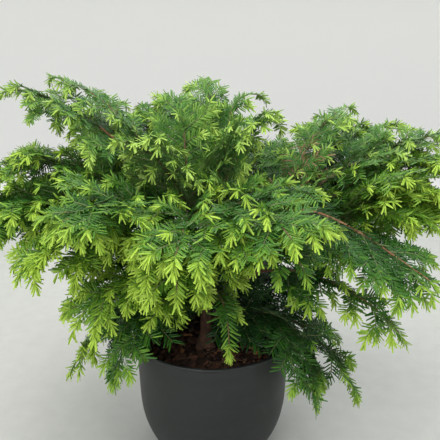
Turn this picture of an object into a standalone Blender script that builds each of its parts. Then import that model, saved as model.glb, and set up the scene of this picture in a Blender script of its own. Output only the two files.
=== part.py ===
"""A dwarf spreading hemlock in its round nursery pot.

Run with: blender --background --python part.py

The pot stands on z = 0 with its axis on Z, and the plant's front is towards -Y.
A short trunk forks into stems. Each stem carries boughs, each bough ends where
it enters one mass of foliage, and a mass is one stem with flat sprays of
needles along both sides. All sizes are in metres and all angles in degrees.
"""

import math
import random

import bmesh
import bpy
from mathutils import Vector
from mathutils.kdtree import KDTree

GAP = 0.0003  # clearance between one solid and the next
JOINT = 0.0005  # from the end of a bough to the stem that carries it on
SHARP_EDGE = 40  # an edge that bends more than this is drawn sharp
UP = Vector((0.0, 0.0, 1.0))

# The pot: a thin wall with a little draft, tucked in to a flat foot.
POT_HEIGHT = 0.150
RIM_RADIUS = 0.0950
LIP_HEIGHT = 0.0045
LIP_PROUD = 0.0012
WALL = 0.0020
FLOOR = 0.0025
WALL_DRAFT = 0.035  # metres of radius lost per metre down
SHOULDER_HEIGHT = 0.075
SHOULDER_INSET = 0.023
SHOULDER_POWER = 2.35
POT_SIDES = 36
WALL_HEIGHTS = (0.006, 0.014, 0.024, 0.036, 0.050, 0.068, 0.105)
INNER_HEIGHTS = WALL_HEIGHTS[::2]
DRAIN_HOLES = 6
DRAIN_RADIUS = 0.005
DRAIN_CIRCLE = 0.045
SOIL_TOP = 0.138
SOIL_DISH = 0.003  # how far the soil sinks where it meets the wall
SOIL_LEVEL_TO = 0.066  # radius up to which the soil is level

# The woody parts.
TRUNK_FOOT = Vector((-0.008, -0.018, SOIL_TOP + GAP))
TRUNK_TIP = Vector((-0.025, 0.015, 0.315))
TRUNK_LEAN = Vector((0.006, 0.004, 0.0))
TRUNK_RADII = (0.0085, 0.0030)
FLARE_RADIUS = 0.0140
FLARE_HEIGHT = 0.020
STEM_RADII = (0.0050, 0.0026)
BOUGH_RADII = (0.0030, 0.0019)
TWIG_RADII = (0.0017, 0.0006)
LIMB_STEP = 0.015  # length of one segment of a limb
TWIG_STEP = 0.028
TRUNK_SIDES = 10
STEM_SIDES = 7
BOUGH_SIDES = 5
TWIG_SIDES = 3

# How each tier of boughs grows: the angles at which it leaves its parent and
# ends, how strongly each is held (as a share of the chord), the share of its
# length that is bare, the half width of its foliage over its length, the least
# and most that a spray sags over its length, and the length of stem from one
# spray to the next.
TIERS = {
    "top": {
        "climb": 52,
        "fall": 8,
        "holds": (0.38, 0.33),
        "bare": 0.20,
        "spread": 0.46,
        "droop": (0.00, 0.14),
        "step": 0.023,
    },
    "crest": {
        "climb": 80,
        "fall": -12,
        "holds": (0.55, 0.45),
        "bare": 0.20,
        "spread": 0.46,
        "droop": (0.00, 0.14),
        "step": 0.023,
    },
    "upper": {
        "climb": 42,
        "fall": -22,
        "holds": (0.38, 0.33),
        "bare": 0.22,
        "spread": 0.50,
        "droop": (0.04, 0.20),
        "step": 0.023,
    },
    "middle": {
        "climb": 33,
        "fall": -50,
        "holds": (0.40, 0.33),
        "bare": 0.25,
        "spread": 0.50,
        "droop": (0.06, 0.24),
        "step": 0.023,
    },
    "skirt": {
        "climb": 30,
        "fall": -60,
        "holds": (0.42, 0.45),
        "bare": 0.0,
        "spread": 0.44,
        "droop": (0.06, 0.24),
        "step": 0.027,
    },
    "drape": {
        "climb": 30,
        "fall": -86,
        "holds": (0.45, 0.70),
        "bare": 0.0,
        "spread": 0.44,
        "droop": (0.06, 0.24),
        "step": 0.027,
    },
}
# Stems: name, height at which it leaves the trunk, tip. A stem leaves outwards
# for a share of its reach, and then turns up; the rises are of its two handles.
STEMS = (
    ("right", 0.187, Vector((0.060, -0.010, 0.300))),
    ("back", 0.205, Vector((0.015, 0.060, 0.305))),
)
STEM_ELBOW = 0.55
STEM_RISES = (0.020, 0.050)
# Foliage: name, tier, parent, azimuth from +X towards +Y, reach from the pot's
# axis and height of the tip. Listed from the lowest on each parent upwards.
FOLIAGE = (
    ("skirt_back_right", "skirt", "trunk", 44, 0.165, 0.152),
    ("skirt_front_right", "drape", "trunk", 332, 0.136, 0.089),
    ("skirt_right", "skirt", "trunk", 348, 0.169, 0.099),
    ("skirt_back", "skirt", "trunk", 82, 0.156, 0.146),
    ("skirt_left", "skirt", "trunk", 194, 0.171, 0.119),
    ("skirt_back_left", "skirt", "trunk", 147, 0.160, 0.112),
    ("skirt_front_left", "drape", "trunk", 212, 0.128, 0.144),
    ("skirt_front", "drape", "trunk", 282, 0.092, 0.169),
    ("middle_front_left", "middle", "trunk", 223, 0.180, 0.220),
    ("middle_left", "middle", "trunk", 184, 0.252, 0.290),
    ("middle_back_left", "middle", "trunk", 152, 0.258, 0.290),
    ("middle_front", "middle", "trunk", 260, 0.169, 0.268),
    ("middle_left_front", "middle", "trunk", 206, 0.214, 0.263),
    ("middle_front_right", "middle", "trunk", 298, 0.181, 0.284),
    ("upper_left", "upper", "trunk", 172, 0.262, 0.346),
    ("upper_front_left", "upper", "trunk", 231, 0.208, 0.330),
    ("upper_front", "upper", "trunk", 262, 0.200, 0.312),
    ("upper_front_inner", "upper", "trunk", 291, 0.196, 0.322),
    ("top_left", "top", "trunk", 166, 0.248, 0.437),
    ("top_front_left", "top", "trunk", 222, 0.118, 0.392),
    ("top_front_right", "top", "trunk", 349, 0.068, 0.408),
    ("top_inner_left", "top", "trunk", 160, 0.208, 0.451),
    ("top_inner", "top", "trunk", 122, 0.076, 0.426),
    ("middle_right", "middle", "right", 358, 0.265, 0.299),
    ("middle_right_back", "middle", "right", 29, 0.262, 0.290),
    ("middle_right_front", "middle", "right", 327, 0.227, 0.203),
    ("upper_right", "upper", "right", 3, 0.272, 0.346),
    ("upper_right_back", "upper", "right", 38, 0.284, 0.366),
    ("top_outer_right", "top", "right", 12, 0.280, 0.381),
    ("top_right", "top", "right", 23, 0.184, 0.415),
    ("upper_front_right", "upper", "right", 331, 0.247, 0.260),
    ("middle_back", "middle", "back", 115, 0.252, 0.290),
    ("middle_back_right", "middle", "back", 72, 0.250, 0.324),
    ("upper_back", "upper", "back", 110, 0.243, 0.401),
    ("upper_back_left", "upper", "back", 138, 0.250, 0.388),
    ("top_back_right", "crest", "back", 56, 0.109, 0.427),
    ("top_back", "top", "back", 95, 0.152, 0.447),
)
# These masses grow straight from a stem, with no bough of their own.
WITHOUT_BOUGH = ("top_front_left", "top_front_right", "top_inner_left", "top_inner")
WITHOUT_BOUGH += ("top_back", "top_back_right", "top_right")
WITHOUT_BOUGH += ("middle_front", "middle_front_left", "middle_front_right", "upper_front_inner")
# These masses are narrower or wider than their tier, by a factor at the root and
# another at the tip.
WIDTHS = {
    "top_left": (0.30, 1.20),
    "top_inner_left": (0.22, 0.60),
    "top_inner": (0.80, 1.10),
    "top_front_right": (1.00, 1.30),
    "top_back": (0.70, 0.65),
    "top_back_right": (0.35, 0.45),
    "top_right": (0.45, 0.65),
    "upper_left": (1.00, 0.90),
    "upper_front_right": (1.00, 1.35),
    "middle_left": (1.00, 1.50),
    "middle_left_front": (1.00, 0.90),
    "middle_front_left": (1.00, 0.75),
    "middle_front": (0.75, 0.90),
    "middle_front_right": (0.90, 0.70),
    "middle_right_front": (0.55, 0.60),
    "skirt_left": (0.85, 0.70),
    "skirt_front_left": (1.20, 1.70),
    "skirt_front": (0.35, 0.80),
    "skirt_front_right": (1.00, 1.30),
    "skirt_right": (0.60, 1.30),
    "skirt_back_right": (1.20, 0.80),
}
# Radii at the root and at the tip of the stems that are stouter than the rest.
STOUT = {"upper_front_right": (0.0019, 0.0010), "top_left": (0.0019, 0.0009)}
LEAVES_PARENT = {"trunk": (0.12, 0.97), "right": (0.20, 0.94), "back": (0.24, 0.94)}
SWAY = 0.09  # sideways bend of a bough, as a share of its chord

# A spray: a flat toothed blade with a raised rib.
FEWEST_SPRAYS = 5
FIRST_SPRAY = 0.07
LAST_SPRAY = 0.80
SPRAY_ANGLES = (62, 42)  # from the stem, at the mass's root and at its tip
SPRAY_TILT = (2, 24)  # out of the plane of the mass, up and down by turns
SPRAY_SIZES = (1.0, 0.82, 0.66, 0.5)
SHORTEST_SPRAY = 0.018
TIP_SPRAY = 0.32  # share of the mass's stem that its last spray covers
STEM_SHORT = 0.55  # share of that spray past the end of the stem inside it
TOOTH_LENGTH = 0.029
MOST_TEETH = 4
TOOTH_SWEEP = 0.45
NOTCH_SHARE = 0.32
HALF_WIDTH_SHARE = 0.25
LEAST_HALF_WIDTH = 0.009
RIB_HEIGHT = 0.0011
SUNK = 0.0012  # depth of a spray's root past the middle of its stem

# The space that foliage keeps.
BETWEEN_MASSES = 0.0045
LAYERING = 1.5  # heights count this much more, as foliage lies in flat layers
OFF_LIMBS = 0.0018
OFF_POT = 0.003
LOWEST = 0.012
SAMPLE = 0.003  # step of the points that stand for a limb


# Pot and soil


def wall_radius(height):
    """The pot's outer radius at a height, under its lip."""
    draft = WALL_DRAFT * (POT_HEIGHT - height)
    tuck = SHOULDER_INSET * max(0.0, 1.0 - height / SHOULDER_HEIGHT) ** SHOULDER_POWER
    return RIM_RADIUS - LIP_PROUD - draft - tuck


def turned(profile):
    """A closed solid turned about Z from (radius, height) pairs, from axis to axis."""
    shape = bmesh.new()
    rings = []
    for radius, height in profile:
        if radius == 0.0:
            rings.append([shape.verts.new((0.0, 0.0, height))])
            continue
        angles = (math.tau * side / POT_SIDES for side in range(POT_SIDES))
        rings.append(
            [shape.verts.new((radius * math.cos(a), radius * math.sin(a), height)) for a in angles]
        )
    for lower, upper in zip(rings, rings[1:]):
        for side in range(POT_SIDES):
            after = (side + 1) % POT_SIDES
            corners = [lower[side % len(lower)], lower[after % len(lower)]]
            corners += [upper[after % len(upper)], upper[side % len(upper)]]
            shape.faces.new(dict.fromkeys(corners))
    bmesh.ops.recalc_face_normals(shape, faces=shape.faces)
    return shape


def pot_profile():
    under_lip = POT_HEIGHT - LIP_HEIGHT
    outside = [(0.0, 0.0), (wall_radius(0.0), 0.0)]
    outside += [(wall_radius(height), height) for height in WALL_HEIGHTS]
    outside += [(wall_radius(under_lip), under_lip), (RIM_RADIUS, under_lip + LIP_PROUD)]
    outside += [(RIM_RADIUS, POT_HEIGHT - LIP_PROUD), (RIM_RADIUS - LIP_PROUD, POT_HEIGHT)]
    inside = [(wall_radius(POT_HEIGHT) - WALL, POT_HEIGHT)]
    inside += [(wall_radius(height) - WALL, height) for height in reversed(INNER_HEIGHTS)]
    return outside + inside + [(wall_radius(0.0) - WALL, FLOOR), (0.0, FLOOR)]


def soil_profile():
    side = WALL + GAP
    edge = SOIL_TOP - SOIL_DISH
    profile = [(0.0, FLOOR + GAP), (wall_radius(0.0) - side, FLOOR + GAP)]
    profile += [(wall_radius(height) - side, height) for height in INNER_HEIGHTS]
    profile += [(wall_radius(edge) - side, edge), (SOIL_LEVEL_TO, SOIL_TOP), (0.0, SOIL_TOP)]
    return profile


def drain_cutter():
    """One cylinder through the floor for each drain hole."""
    shape = bmesh.new()
    for hole in range(DRAIN_HOLES):
        angle = math.tau * (hole + 0.5) / DRAIN_HOLES
        made = bmesh.ops.create_cone(
            shape,
            cap_ends=True,
            segments=8,
            radius1=DRAIN_RADIUS,
            radius2=DRAIN_RADIUS,
            depth=4 * FLOOR,
        )
        centre = (DRAIN_CIRCLE * math.cos(angle), DRAIN_CIRCLE * math.sin(angle), 0.0)
        bmesh.ops.translate(shape, verts=made["verts"], vec=centre)
    return shape


# Curves


def curve_point(curve, t):
    """A point of a cubic curve, given by its two ends and two handles."""
    start, leave, arrive, end = curve
    s = 1.0 - t
    return s**3 * start + 3 * s * s * t * leave + 3 * s * t * t * arrive + t**3 * end


def curve_heading(curve, t):
    start, leave, arrive, end = curve
    s = 1.0 - t
    slope = s * s * (leave - start) + 2 * s * t * (arrive - leave) + t * t * (end - arrive)
    return slope.normalized()


def curve_length(curve, steps=24):
    points = [curve_point(curve, step / steps) for step in range(steps + 1)]
    return sum((b - a).length for a, b in zip(points, points[1:]))


def between(ends, share):
    return ends[0] + (ends[1] - ends[0]) * share


def arch(start, tip, tier, sway):
    """The curve of a bough: it climbs away from its parent and bends over to its tip."""
    chord = tip - start
    outward = Vector((chord.x, chord.y, 0.0)).normalized()
    across = UP.cross(outward)
    climb, fall = math.radians(tier["climb"]), math.radians(tier["fall"])
    leave = outward * math.cos(climb) + UP * math.sin(climb) + across * sway
    arrive = outward * math.cos(fall) + UP * math.sin(fall) - across * sway
    first, last = tier["holds"]
    return (start, start + leave * first * chord.length, tip - arrive * last * chord.length, tip)


# Solids along curves


def tube(points, radii, sides):
    """A tube through the points with a flat cap at each end."""
    shape = bmesh.new()
    heading = (points[1] - points[0]).normalized()
    across = heading.orthogonal().normalized()
    rings = []
    for index, (centre, radius) in enumerate(zip(points, radii)):
        before, after = points[max(index - 1, 0)], points[min(index + 1, len(points) - 1)]
        heading = (after - before).normalized()
        across = (across - heading * across.dot(heading)).normalized()
        other = heading.cross(across)
        ring = []
        for side in range(sides):
            angle = math.tau * side / sides
            spoke = across * math.cos(angle) + other * math.sin(angle)
            ring.append(shape.verts.new(centre + spoke * radius))
        rings.append(ring)
    for lower, upper in zip(rings, rings[1:]):
        for side in range(sides):
            after = (side + 1) % sides
            shape.faces.new((lower[side], lower[after], upper[after], upper[side]))
    shape.faces.new(reversed(rings[0]))
    shape.faces.new(rings[-1])
    return shape


def limb_steps(curve, first, last, length=LIMB_STEP):
    """Evenly spaced curve parameters from first to last, about one length apart."""
    count = max(2, round(curve_length(curve) * (last - first) / length))
    return [first + (last - first) * step / count for step in range(count + 1)]


def limb(curve, first, last, radii, sides, extra=0.0):
    steps = limb_steps(curve, first, last, TWIG_STEP if sides == TWIG_SIDES else LIMB_STEP)
    points = [curve_point(curve, t) for t in steps]
    shares = [(t - first) / (last - first) for t in steps]
    return tube(points, [between(radii, share) + extra for share in shares], sides)


def trunk_solid(curve, extra=0.0):
    """The trunk, with its root flare, from the flat cut at the soil to its tip."""
    steps = limb_steps(curve, 0.0, 1.0)
    flare = [0.0, 0.2 * FLARE_HEIGHT, 0.45 * FLARE_HEIGHT]
    steps = [height / curve_length(curve) for height in flare] + steps[1:]
    points = [curve_point(curve, t) for t in steps]
    radii = []
    for t, point in zip(steps, points):
        lift = max(0.0, 1.0 - (point.z - TRUNK_FOOT.z) / FLARE_HEIGHT)
        spread = (FLARE_RADIUS - TRUNK_RADII[0]) * lift**2
        radii.append(between(TRUNK_RADII, t) + spread + extra)
    solid = tube(points, radii, TRUNK_SIDES)
    solid.verts.ensure_lookup_table()
    for vertex in solid.verts[:TRUNK_SIDES]:
        vertex.co.z = TRUNK_FOOT.z
    return solid


def spray_edge(ribs, side, hand, widths):
    """One side of a spray's outline: a notch and a tooth in turn, from the root on."""
    edge = []
    for tooth, width in enumerate(widths):
        base, ahead = ribs[tooth + 1], ribs[tooth + 2]
        edge.append(base + side * hand * width * NOTCH_SHARE)
        edge.append(base.lerp(ahead, TOOTH_SWEEP) + side * hand * width)
    return edge


def spray_solid(ribs, side, widths):
    """A flat toothed blade with a raised rib.

    ribs are the points of the rib from the root to the tip, side is the
    direction across it, and widths are the reach of each pair of teeth.
    """
    shape = bmesh.new()
    root, tip = shape.verts.new(ribs[0]), shape.verts.new(ribs[-1])
    normal = (ribs[-1] - ribs[0]).cross(side).normalized()
    ridges = []
    for face in (1, -1):
        ridges.append([shape.verts.new(rib + normal * face * RIB_HEIGHT) for rib in ribs[1:-1]])
    for hand in (1, -1):
        edge = [shape.verts.new(point) for point in spray_edge(ribs, side, hand, widths)]
        notches, teeth = edge[0::2], edge[1::2]
        for ridge in ridges:
            shape.faces.new((root, ridge[0], notches[0]))
            shape.faces.new((ridge[-1], tip, teeth[-1]))
            for near, notch, tooth in zip(ridge, notches, teeth):
                shape.faces.new((near, notch, tooth))
            for near, far, tooth, notch in zip(ridge, ridge[1:], teeth, notches[1:]):
                shape.faces.new((near, tooth, far))
                shape.faces.new((far, tooth, notch))
    bmesh.ops.recalc_face_normals(shape, faces=shape.faces)
    return shape


# Growth


class Crown:
    """Where every limb and every mass of foliage lies."""

    def __init__(self):
        rise = UP * (TRUNK_TIP - TRUNK_FOOT).length / 3
        trunk = (TRUNK_FOOT, TRUNK_FOOT + rise + TRUNK_LEAN, TRUNK_TIP - rise, TRUNK_TIP)
        self.limbs = {"trunk": (trunk, 0.0, 1.0, TRUNK_RADII)}
        for name, height, tip in STEMS:
            share = (height - TRUNK_FOOT.z) / (TRUNK_TIP.z - TRUNK_FOOT.z)
            start = curve_point(trunk, share)
            outward = Vector((tip.x - start.x, tip.y - start.y, 0.0)) * STEM_ELBOW
            curve = (start, start + outward + UP * STEM_RISES[0], tip - UP * STEM_RISES[1], tip)
            self.limbs[name] = (curve, 0.0, 1.0, STEM_RADII)
        self.masses = {}
        for name, tier, parent, azimuth, reach, height in FOLIAGE:
            self.grow(name, TIERS[tier], parent, math.radians(azimuth), reach, height)
        self.fill_space()

    def grow(self, name, tier, parent, azimuth, reach, height):
        """Adds one bough and the mass that it enters."""
        siblings = [row[0] for row in FOLIAGE if row[2] == parent]
        order = siblings.index(name) / (len(siblings) - 1)
        start = curve_point(self.limbs[parent][0], between(LEAVES_PARENT[parent], order))
        tip = Vector((reach * math.cos(azimuth), reach * math.sin(azimuth), height))
        sway = random.Random(name).uniform(-SWAY, SWAY)
        curve = arch(start, tip, tier, sway)
        bare = tier["bare"]
        if name in WITHOUT_BOUGH or bare == 0.0:
            self.masses[name] = (curve, 0.0, tier, parent)
            return
        self.limbs[name] = (curve, 0.0, bare, BOUGH_RADII)
        root = bare + JOINT / curve_length(curve)
        self.masses[name] = (curve, root, tier, None)

    def fill_space(self):
        """Lists points along every limb and along the stem of every mass."""
        self.woody = []
        for curve, first, last, radii in self.limbs.values():
            steps = round(curve_length(curve) / SAMPLE)
            for step in range(steps + 1):
                share = step / steps
                point = curve_point(curve, between((first, last), share))
                self.woody.append((point, between(radii, share)))
        self.wood = tree_of([point for point, _ in self.woody])
        lines = {}
        for name, (curve, root, _, _) in self.masses.items():
            steps = round(curve_length(curve) / SAMPLE)
            shares = (between((root, 1.0), step / steps) for step in range(steps + 1))
            lines[name] = [curve_point(curve, share) for share in shares]
        self.own = {name: tree_of(layered(points)) for name, points in lines.items()}
        self.others = {}
        for name in lines:
            rest = [point for other in lines if other != name for point in lines[other]]
            self.others[name] = tree_of(layered(rest))

    def holds(self, name, point):
        """Whether a point of foliage is in its mass's own space, clear of wood and pot."""
        (place,) = layered([point])
        if self.own[name].find(place)[2] + BETWEEN_MASSES > self.others[name].find(place)[2]:
            return False
        for _, index, away in self.wood.find_range(point, FLARE_RADIUS + OFF_LIMBS):
            if away < self.woody[index][1] + OFF_LIMBS:
                return False
        return clear_of_pot(point)


def layered(points):
    return [Vector((point.x, point.y, point.z * LAYERING)) for point in points]


def tree_of(points):
    """A tree that finds the nearest of these points."""
    tree = KDTree(len(points))
    for index, point in enumerate(points):
        tree.insert(point, index)
    tree.balance()
    return tree


def clear_of_pot(point):
    radius = math.hypot(point.x, point.y)
    if point.z > POT_HEIGHT + OFF_POT:
        return True
    if radius < wall_radius(POT_HEIGHT) - WALL - OFF_POT:
        return point.z > SOIL_TOP + OFF_POT
    return radius > RIM_RADIUS + OFF_POT and point.z > LOWEST


def spray_plan(crown, name):
    """The sprays of one mass: the ribs, direction across and tooth widths of each.

    They leave the stem by turns to the left and right, longest near the root,
    and the last carries the stem's own line on to the tip. One that would leave
    the mass's space is tried shorter, and is skipped if it would be too short.
    """
    curve, root, tier, _ = crown.masses[name]
    length = curve_length(curve) * (1.0 - root)
    chord = curve[3] - curve[0]
    level = UP.cross(Vector((chord.x, chord.y, 0.0))).normalized()
    count = max(FEWEST_SPRAYS, round(length / tier["step"]))
    plan = []
    for index in range(count):
        chance = random.Random(f"{name} {index}")
        share = between((FIRST_SPRAY, LAST_SPRAY), index / (count - 1))
        t = between((root, 1.0), share)
        heading = curve_heading(curve, t)
        across = (level - heading * level.dot(heading)).normalized()
        hand = 1 if index % 2 else -1
        lift = 1 if index % 4 in (1, 2) else -1
        tilt = math.radians(chance.uniform(*SPRAY_TILT)) * lift
        outward = across * hand * math.cos(tilt) + heading.cross(across) * math.sin(tilt)
        angle = math.radians(between(SPRAY_ANGLES, share) + chance.uniform(-7, 7))
        leave = heading * math.cos(angle) + outward * math.sin(angle)
        side = outward * math.cos(angle) - heading * math.sin(angle)
        widest = between(WIDTHS.get(name, (1.0, 1.0)), share) * tier["spread"] * length
        reach = widest * (1.0 - share) ** 0.55 * min(1.0, 0.75 + share)
        reach *= chance.uniform(0.88, 1.12)
        droop = chance.uniform(*tier["droop"])
        for size in SPRAY_SIZES:
            found = side_spray(curve_point(curve, t), leave, side, reach * size, droop)
            if reach * size >= SHORTEST_SPRAY and fits(crown, name, *found):
                plan.append(found)
                break
    plan.append(tip_spray(curve, root, level))
    return plan


def tooth_widths(reach):
    """The reach of each pair of teeth on a spray of this length."""
    teeth = min(MOST_TEETH, max(2, round(reach / TOOTH_LENGTH)))
    widest = max(LEAST_HALF_WIDTH, HALF_WIDTH_SHARE * reach)
    return [widest * math.sin(math.pi * (0.28 + 0.52 * tooth / teeth)) for tooth in range(teeth)]


def side_spray(base, leave, side, reach, droop):
    widths = tooth_widths(reach)
    shares = [between((SUNK / reach * 3, 1.0), rib / len(widths)) for rib in range(len(widths) + 1)]
    ribs = [base - leave * SUNK]
    ribs += [base + leave * reach * share - UP * droop * reach * share**2 for share in shares]
    return ribs, side, widths


def tip_spray(curve, root, level):
    first = between((root, 1.0), 1.0 - TIP_SPRAY)
    widths = tooth_widths(curve_length(curve) * (1.0 - first))
    shares = [between((first, 1.0), rib / (len(widths) + 0.5)) for rib in range(len(widths) + 1)]
    ribs = [curve_point(curve, t) for t in shares + [1.0]]
    heading = (ribs[-1] - ribs[0]).normalized()
    return ribs, (level - heading * level.dot(heading)).normalized(), widths


def fits(crown, name, ribs, side, widths):
    """Whether all of a spray stays in its mass's space."""
    for hand in (1, -1):
        edge = spray_edge(ribs, side, hand, widths) + [ribs[-1]]
        inner = [rib for rib in ribs[1:-1] for _ in range(2)] + [ribs[-1]]
        for point, rib, after in zip(edge, inner, edge[1:] + edge[-1:]):
            tests = (point, point.lerp(rib, 0.35), point.lerp(rib, 0.7), point.lerp(after, 0.5))
            if not all(crown.holds(name, test) for test in tests):
                return False
    return True


# Objects


def material(name, colour, roughness):
    made = bpy.data.materials.new(name)
    made.use_nodes = True
    shader = made.node_tree.nodes["Principled BSDF"]
    shader.inputs["Base Color"].default_value = (*colour, 1.0)
    shader.inputs["Roughness"].default_value = roughness
    shader.inputs["Metallic"].default_value = 0.0
    made.diffuse_color = (*colour, 1.0)
    return made


def add_object(name, shape, finish, parent, origin=(0.0, 0.0, 0.0)):
    """Makes an object of a bmesh, with its origin at the given point."""
    origin = Vector(origin)
    bmesh.ops.translate(shape, verts=shape.verts, vec=-origin)
    mesh = bpy.data.meshes.new(name)
    shape.to_mesh(mesh)
    shape.free()
    mesh.shade_smooth()
    mesh.set_sharp_from_angle(angle=math.radians(SHARP_EDGE))
    mesh.materials.append(finish)
    made = bpy.data.objects.new(name, mesh)
    made.location = origin
    made.parent = parent
    bpy.context.scene.collection.objects.link(made)
    return made


def add_cutter(name, shape, finish, parent):
    made = add_object(name, shape, finish, parent)
    made.hide_render = True
    made.display_type = "WIRE"
    return made


def cut(made, cutter):
    clearance = made.modifiers.new("clearance", "BOOLEAN")
    clearance.operation = "DIFFERENCE"
    clearance.object = cutter
    apply_boolean(made)


def apply_boolean(made):
    """Applies the object's Boolean and keeps the one outer body of what it gives."""
    finish = made.data.materials[0]
    graph = bpy.context.evaluated_depsgraph_get()
    result = bpy.data.meshes.new_from_object(made.evaluated_get(graph))
    made.modifiers.clear()
    made.data = result
    result.name = made.name
    keep_outer_body(result)
    result.materials.clear()
    result.materials.append(finish)


def join_pieces(made, pieces):
    """Fuses the pieces into the object."""
    group = bpy.data.collections.new(f"{made.name}_pieces")
    bpy.context.scene.collection.children.link(group)
    for index, piece in enumerate(pieces):
        mesh = bpy.data.meshes.new(f"{made.name}_{index}")
        bmesh.ops.translate(piece, verts=piece.verts, vec=-made.location)
        piece.to_mesh(mesh)
        piece.free()
        helper = bpy.data.objects.new(mesh.name, mesh)
        helper.location = made.location
        group.objects.link(helper)
    union = made.modifiers.new("union", "BOOLEAN")
    union.operation = "UNION"
    union.operand_type = "COLLECTION"
    union.collection = group
    union.solver = "MANIFOLD"
    apply_boolean(made)
    for helper in list(group.objects):
        bpy.data.objects.remove(helper)
    bpy.data.collections.remove(group)


def keep_outer_body(mesh):
    """Removes loose scraps and the walls of sealed hollows."""
    shape = bmesh.new()
    shape.from_mesh(mesh)
    bmesh.ops.triangulate(shape, faces=shape.faces)
    waiting = set(shape.faces)
    bodies = []
    while waiting:
        body, front = [], [waiting.pop()]
        while front:
            face = front.pop()
            body.append(face)
            beside = {near for edge in face.edges for near in edge.link_faces} & waiting
            waiting -= beside
            front += beside
        bodies.append(body)
    volumes = [sum(signed_volume(face) for face in body) for body in bodies]
    outer = bodies[volumes.index(max(volumes))]
    spare = [face for body in bodies if body is not outer for face in body]
    bmesh.ops.delete(shape, geom=spare, context="FACES")
    shape.to_mesh(mesh)
    shape.free()


def signed_volume(face):
    a, b, c = (vertex.co for vertex in face.verts)
    return a.dot(b.cross(c)) / 6.0


def add_pot(parent):
    plastic = material("pot_plastic", (0.045, 0.049, 0.053), 0.5)
    mix = material("bark_mix", (0.055, 0.022, 0.012), 0.9)
    pot = add_object("pot", turned(pot_profile()), plastic, parent)
    cut(pot, add_cutter("drain_holes", drain_cutter(), plastic, parent))
    add_object("soil", turned(soil_profile()), mix, parent)


def add_limbs(crown, parent):
    """The trunk, the stems and the boughs, each cut clear of what it grows from."""
    bark = material("bark", (0.075, 0.042, 0.024), 0.85)
    cutters = {}
    parents = {row[0]: row[2] for row in FOLIAGE}
    for name, (curve, first, last, radii) in crown.limbs.items():
        if name == "trunk":
            add_object(name, trunk_solid(curve), bark, parent, curve[0])
            clearance = trunk_solid(curve, GAP)
        elif name in parents:
            bough = limb(curve, first, last, radii, BOUGH_SIDES)
            made = add_object(f"bough_{name}", bough, bark, parent, curve[0])
            cut(made, cutters[parents[name]])
            continue
        else:
            stem = limb(curve, first, last, radii, STEM_SIDES)
            made = add_object(f"stem_{name}", stem, bark, parent, curve[0])
            cut(made, cutters["trunk"])
            clearance = limb(curve, first, last, radii, STEM_SIDES, GAP)
        cutters[name] = add_cutter(f"clearance_{name}", clearance, bark, parent)
    return cutters


def add_foliage(crown, cutters, parent):
    """One object for each mass: its stem with all of its sprays fused on."""
    needles = material("needles", (0.060, 0.160, 0.035), 0.6)
    for name, (curve, root, _, holder) in crown.masses.items():
        last = between((root, 1.0), 1.0 - STEM_SHORT * TIP_SPRAY)
        stem = limb(curve, root, last, STOUT.get(name, TWIG_RADII), TWIG_SIDES)
        made = add_object(f"foliage_{name}", stem, needles, parent, curve_point(curve, root))
        pieces = [spray_solid(*found) for found in spray_plan(crown, name)]
        join_pieces(made, pieces)
        if holder:
            cut(made, cutters[holder])


def main():
    for old in list(bpy.data.objects):
        bpy.data.objects.remove(old)
    plant = bpy.data.objects.new("potted_hemlock", None)
    bpy.context.scene.collection.objects.link(plant)
    add_pot(plant)
    crown = Crown()
    cutters = add_limbs(crown, plant)
    add_foliage(crown, cutters, plant)


if __name__ == "__main__":
    main()
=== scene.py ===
import random
from math import cos, hypot, pi, radians, sin, sqrt, tau
from typing import NamedTuple

import bmesh
import bpy
import numpy as np
from mathutils import Euler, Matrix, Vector, noise
from mathutils.kdtree import KDTree


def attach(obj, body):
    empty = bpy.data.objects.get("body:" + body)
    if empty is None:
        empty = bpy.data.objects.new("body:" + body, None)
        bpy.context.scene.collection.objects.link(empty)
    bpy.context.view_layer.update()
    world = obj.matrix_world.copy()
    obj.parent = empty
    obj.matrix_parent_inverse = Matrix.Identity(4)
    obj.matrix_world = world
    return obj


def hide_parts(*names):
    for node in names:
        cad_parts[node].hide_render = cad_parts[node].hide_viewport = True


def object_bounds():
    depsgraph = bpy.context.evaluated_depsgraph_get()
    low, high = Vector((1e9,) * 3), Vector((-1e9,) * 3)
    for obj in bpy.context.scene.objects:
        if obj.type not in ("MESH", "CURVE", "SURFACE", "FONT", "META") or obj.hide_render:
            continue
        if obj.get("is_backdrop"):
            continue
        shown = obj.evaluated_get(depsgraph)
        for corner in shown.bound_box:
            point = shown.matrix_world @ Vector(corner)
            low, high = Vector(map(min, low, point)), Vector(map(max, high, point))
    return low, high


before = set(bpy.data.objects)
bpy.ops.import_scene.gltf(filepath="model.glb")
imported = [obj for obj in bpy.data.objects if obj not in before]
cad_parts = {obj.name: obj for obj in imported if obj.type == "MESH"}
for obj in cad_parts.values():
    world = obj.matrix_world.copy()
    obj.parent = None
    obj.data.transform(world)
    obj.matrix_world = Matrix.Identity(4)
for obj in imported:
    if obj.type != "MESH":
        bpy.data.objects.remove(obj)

# The looks of a dwarf spreading hemlock in its round nursery pot, in metres and degrees.
# The pot, the limbs and the space of each mass of foliage follow the rule of the solids,
# and each flat spray is carried on to fine twigs, needles and the fresh shoots at its
# tips. A pair of values is at the start and at the end of what it describes.

BODY = "root"
UP = Vector((0.0, 0.0, 1.0))
GAP = 0.0003  # between the mix and the pot or trunk
JOINT = 0.0005  # between a bough and the mass that it carries

# Camera: focal length for a sensor this wide, place, and pitch up from straight down.
LENS = 44.18
SENSOR = 36.0
CAMERA_AT = (0.009, -0.605, 0.462)
CAMERA_PITCH = 74.1

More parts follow.
